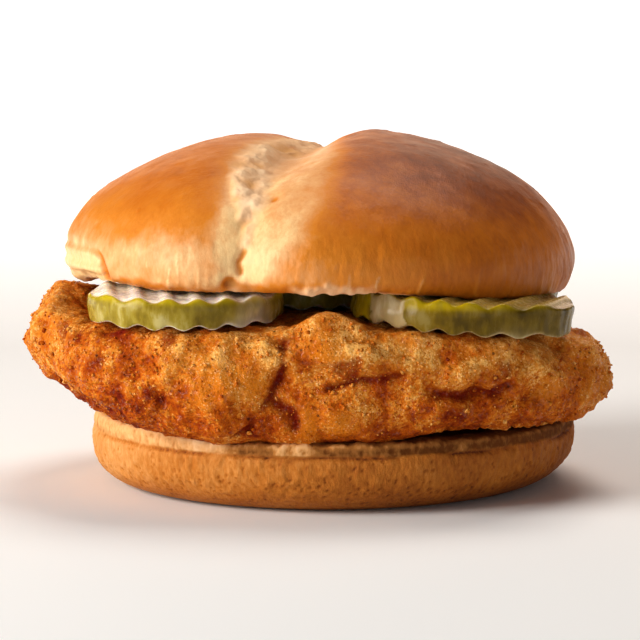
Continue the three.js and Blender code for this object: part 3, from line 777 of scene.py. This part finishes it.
def chicken_fillet(breading):
    """The fillet under its crags: soft lumps, sandy grain and deep creases where the batter folded in."""
    fillet = Surface("chicken_fillet", "fillet_breading", FILLET_GRID, MELTING)
    p, n = fillet.home, fillet.facing
    out = np.hypot(p[:, 0], p[:, 1])
    wild = warped(p, 6.0, 1.2, 11)
    glaze = spots(wild, GLAZE_SPOTS) ** 2
    pale = spots(wild, PALE_SPOTS)
    crease = np.max([swell(from_line(wild, line), CREASE_WIDTH) for line in BREADING_CREASES], axis=0)
    dark = np.maximum(spots(wild, DARK_SPOTS), 0.8 * ease(lumps(wild, 7.0, 45), 0.45, 0.8))

    # Lumps, which are coarser at both ends, then flakes that lie in steps, then single grains
    tips = ease(out, 50.0, 57.0)
    coarse = (0.55 + 0.5 * tips) * fractal(wild, 6.0, 3, 15)
    full_at, full_reach, full_height = FILLET_SHOULDER
    coarse += full_height * swell(away_from(p, full_at), full_reach)
    flake, beyond, step = cells(warped(p, 2.5, 0.9, 81), 2.4, 25)
    flakes = (step - 0.5) * 0.35 * ease(beyond - flake, 0.0, 0.35)
    grain, _, size = cells(warped(p, 1.2, 0.4, 91), 1.2, 35)
    grains = (0.1 + 0.2 * size) * ease(grain, 0.6, 0.1)
    rough = 1 - 0.85 * glaze
    hidden = ease(n[:, 2], -0.2, -0.8) * ease(out, 50.0, 44.0)
    # Along the foot of the right end the breading hangs down in small tongues.
    foot = ease(p[:, 2], 19.0, 15.5) * ease(p[:, 0], 12.0, 24.0) * ease(p[:, 0], 47.0, 40.0)
    tongues = foot * (ease(lumps(p * (1, 1, 0), 2.8, 83), -0.2, 0.3) - 0.5)
    relief = coarse * (1 - 0.5 * glaze) + rough * (flakes + grains) - CREASE_DEPTH * crease + 0.05
    fillet.push((1 - hidden) * (relief + tongues))
    # Its foot sinks into the soft crumb.
    sunk = (0.7 + 0.4 * lumps(p * (1, 1, 0), 3.5, 87)) * ease(p[:, 2], 19.0, 15.5)
    fillet.points[:, 2] -= sunk * ease(p[:, 0], 24.0, 8.0) * ease(p[:, 0], -50.0, -42.0)
    fillet.refresh()

    hollow = fillet.hollows(14)
    golden = 0.12 * ease(p[:, 2], 25.0, 32.0) + 0.2 * ease(p[:, 0], 44.0, 54.0)
    rusty = 0.1 * ease(p[:, 2], 26.0, 17.0)
    rusty += 0.13 * ease(p[:, 0], -26.0, -38.0) * ease(p[:, 0], -55.0, -48.0)
    # Painted shade: the tone is darker in the hollows.
    fillet.mark("height", 0.5 + 0.3 * hollow - 0.2 * dark + golden - rusty)
    # Its right end is orange with oil.
    oily = 0.45 * ease(p[:, 0], 42.0, 52.0)
    fillet.mark("glaze", np.maximum(0.95 * glaze * ease(hollow, -0.4, 0.1), oily))
    fillet.mark("pale", pale)
    # Painted shade in the creases; the spots that fried dark are their own colour.
    fillet.mark("crease", np.maximum(0.9 * crease**1.5, 0.9 * dark**2))
    return fillet.finish(breading, "chicken_fillet", "chicken_fillet")


def loose_crumbs(fillet, breading, count):
    """Crisp crumbs that stuck to the fillet's sides, partly sunk in the breading."""
    draw = np.random.default_rng(CRUMB_SEED)
    mesh = fillet.data
    points = np.empty(3 * len(mesh.vertices), np.float32)
    normals = points.copy()
    mesh.vertices.foreach_get("co", points)
    mesh.vertex_normals.foreach_get("vector", normals)
    points, normals = points.reshape(-1, 3), normals.reshape(-1, 3)
    out = np.hypot(points[:, 0], points[:, 1]) / MM
    shown = np.flatnonzero((np.abs(normals[:, 2]) < 0.75) & (out > 40.0))
    crumb = bmesh.new()
    bmesh.ops.create_icosphere(crumb, subdivisions=1, radius=1.0)
    shape = np.array([v.co for v in crumb.verts])
    faces = np.array([[v.index for v in f.verts] for f in crumb.faces])
    crumb.free()
    chosen = draw.choice(shown, count, replace=False)
    # Most crumbs are small.
    smallest, largest = CRUMB_REACH
    sizes = smallest + (largest - smallest) * draw.random(count) ** 4
    stretch = draw.uniform(0.6, 1.3, (count, 1, 3))
    knobs = draw.uniform(0.7, 1.25, (count, len(shape), 1))
    angles = draw.uniform(0, 2 * math.pi, count)
    axes = draw.normal(size=(count, 3))
    turns = np.array([Matrix.Rotation(angle, 3, Vector(axis)) for angle, axis in zip(angles, axes)])
    grains = np.einsum("cij,cvj->cvi", turns, shape[None] * stretch * knobs) * sizes[:, None, None] * MM
    grains += points[chosen][:, None] + normals[chosen][:, None] * (sizes * 0.25 * MM)[:, None, None]
    joined = bpy.data.meshes.new("stuck_crumbs")
    corners = (faces[None] + (np.arange(count) * len(shape))[:, None, None]).reshape(-1, 3)
    joined.from_pydata(grains.reshape(-1, 3).tolist(), [], corners.tolist())
    none = np.zeros(count)
    marks = {
        "height": draw.uniform(0.35, 0.8, count),
        "pale": draw.uniform(0.0, 0.4, count),
        "glaze": none,
        "crease": none,
    }
    for name, values in marks.items():
        layer = joined.attributes.new(name, "FLOAT", "POINT")
        layer.data.foreach_set("value", np.repeat(values, len(shape)).astype(np.float32))
    joined.materials.append(breading)
    joined.polygons.foreach_set("use_smooth", np.ones(len(joined.polygons), bool))
    piece = bpy.data.objects.new("stuck_crumbs", joined)
    bpy.context.scene.collection.objects.link(piece)
    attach(piece, "root")


def pickle_slice(place, grid, brined, stained, peeled):
    """One crinkle-cut slice: smooth wet skin round its rim, where it isn't peeled, and paler flesh on its
    faces."""
    node = "pickle_" + place
    slice_ = Surface(node, node + "_slice", grid, MELTING)
    p, n = slice_.home, slice_.facing
    middle = (p.min(axis=0) + p.max(axis=0)) / 2
    out = np.hypot(*(p - middle)[:, :2].T)
    reach = np.percentile(out, 99)
    rim = ease(np.abs(n[:, 2]), 0.75, 0.5)
    bearing = np.arctan2(p[:, 1] - middle[1], p[:, 0] - middle[0])
    ring = np.stack([reach * np.cos(bearing), reach * np.sin(bearing), 0.3 * p[:, 2]], 1)
    warts = 0.16 * lumps(ring, 2.2, 14)
    bulge = 0.3 * ease(np.abs(p[:, 2] - middle[2]), 2.6, 0.0)
    # Between the ridges the flesh swells up behind the rim, so it shows over the skin.
    top = ease(n[:, 2], 0.4, 0.8)
    swollen = 0.9 * ease(slice_.hollows(60), 0.0, -0.5) * ease(out, reach - 0.9, reach - 2.0)
    slice_.push(rim * (warts + bulge) + top * swollen)
    # Left of a peeled patch the whole rim takes the crests' brighter tone, painted light where the crown
    # shades it.
    crest = ease(p[:, 2] - middle[2], 0.6, 2.2)
    first, last = peeled
    yellow = 0.8 * ease(p[:, 0], first, first - 1.0) * (last > first)
    edge = p[:, 0] + 0.6 * fractal(p, 1.5, 2, 34)
    bare = ease(edge, first - 0.2, first + 0.2) * ease(edge, last + 0.2, last - 0.2)
    bare = bare * ease(p[:, 1], -15.0, -30.0)
    pale_edge = ease(n[:, 2], -0.5, -0.8)
    skin = ease(out, reach - 1.0, reach - 0.5) * (1 - 0.85 * bare) * (1 - 0.55 * pale_edge)
    # On the right slices the top face takes the skin's colour: painted shade from the crown.
    slice_.mark("skin", skin + stained * top)
    slice_.mark("crest", np.maximum(crest, yellow))
    slice_.finish(brined, "pickle", node)


# The stage

def studio():
    """A pale paper floor under a bright horizon, lit by softboxes: a strong one low on the left, and three
    dimmer."""
    reach = FLOOR_REACH * MM
    corners = [(x * reach, y * reach, 0) for x, y in ((-1, -1), (1, -1), (1, 1), (-1, 1))]
    floor_mesh = bpy.data.meshes.new("studio_floor")
    floor_mesh.from_pydata(corners, [], [(0, 1, 2, 3)])
    floor = bpy.data.objects.new("studio_floor", floor_mesh)
    bpy.context.scene.collection.objects.link(floor)
    material, tree = new_material("matt_white_paper")
    place = add(tree, "ShaderNodeTexCoord").outputs["Object"]
    away = add(tree, "ShaderNodeVectorMath", {0: place}, operation="LENGTH").outputs["Value"]
    near, far = FLOOR_FADE
    fade = add(tree, "ShaderNodeMapRange", {"Value": away, "From Min": near * MM, "From Max": far * MM})
    paper = add(tree, "ShaderNodeBsdfPrincipled", {
        "Base Color": linear("#F1F4F7"), "Roughness": 0.95, "Emission Color": linear("#FFFFFF"),
        "Emission Strength": fade.outputs["Result"]})
    add(tree, "ShaderNodeOutputMaterial", {"Surface": paper.outputs["BSDF"]})
    floor_mesh.materials.append(material)

    # The room is dim, so that the softboxes shape the burger, and white along the horizon, where the floor
    # ends.
    world = bpy.data.worlds.new("dim_room")
    world.use_nodes = True
    world.node_tree.nodes.clear()
    tree = world.node_tree
    towards = add(tree, "ShaderNodeTexCoord").outputs["Generated"]
    height = add(tree, "ShaderNodeSeparateXYZ", {0: towards}).outputs["Z"]
    glow = add(tree, "ShaderNodeMapRange", {
        "Value": height, "From Min": 0.04, "From Max": 0.15, "To Min": HORIZON_LIGHT, "To Max": ROOM_LIGHT})
    sky = add(tree, "ShaderNodeBackground", {"Color": linear("#FFFFFF"), "Strength": glow.outputs["Result"]})
    add(tree, "ShaderNodeOutputWorld", {"Surface": sky.outputs["Background"]})
    bpy.context.scene.world = world

    target = Vector(LIT_MIDDLE) * MM
    for name, bearing, climb, distance, size, power, colour in SOFTBOXES:
        lamp = bpy.data.lights.new(name, "AREA")
        lamp.shape = "SQUARE"
        lamp.size = size * MM
        lamp.energy = power
        lamp.color = linear(colour)[:3]
        holder = bpy.data.objects.new(name, lamp)
        turn, rise = math.radians(bearing), math.radians(climb)
        level = math.cos(rise)
        towards = Vector((math.sin(turn) * level, -math.cos(turn) * level, math.sin(rise)))
        holder.location = target + towards * distance * MM
        holder.rotation_euler = towards.to_track_quat("Z", "Y").to_euler()
        bpy.context.scene.collection.objects.link(holder)


def camera():
    """The photograph's viewpoint."""
    lens = bpy.data.cameras.new("camera")
    lens.sensor_width = 36.0
    lens.lens = FOCAL_LENGTH * lens.sensor_width
    holder = bpy.data.objects.new("camera", lens)
    holder.location = CAMERA_AT
    holder.rotation_euler = (math.radians(90.0 - CAMERA_PITCH), 0.0, 0.0)
    bpy.context.scene.collection.objects.link(holder)
    bpy.context.scene.camera = holder


camera()
studio()
view = bpy.context.scene.view_settings
view.view_transform = "Standard"
view.gamma = VIEW_GAMMA
view.exposure = VIEW_EXPOSURE

bun_crown()
bun_heel()
breading = fried_breading()
fillet = chicken_fillet(breading)
loose_crumbs(fillet, breading, CRUMB_COUNT)
paler = brined_cucumber("pale_brined_cucumber", PALE_SKIN, PALE_CREST, PALE_FLESH)
# A darker copy of the same cucumber, painted shade for the right slices in the crown's shadow.
darker = brined_cucumber("shaded_brined_cucumber", DARK_SKIN, DARK_CREST, DARK_FLESH)
pickle_slice("front_left", FRONT_SLICE_GRID, paler, UNSTAINED, NOT_PEELED)
pickle_slice("front_right", FRONT_SLICE_GRID, darker, STAINED, PEELED)
pickle_slice("back_left", BACK_LEFT_GRID, paler, UNSTAINED, NOT_PEELED)
pickle_slice("back_right", BACK_RIGHT_GRID, darker, STAINED, NOT_PEELED)
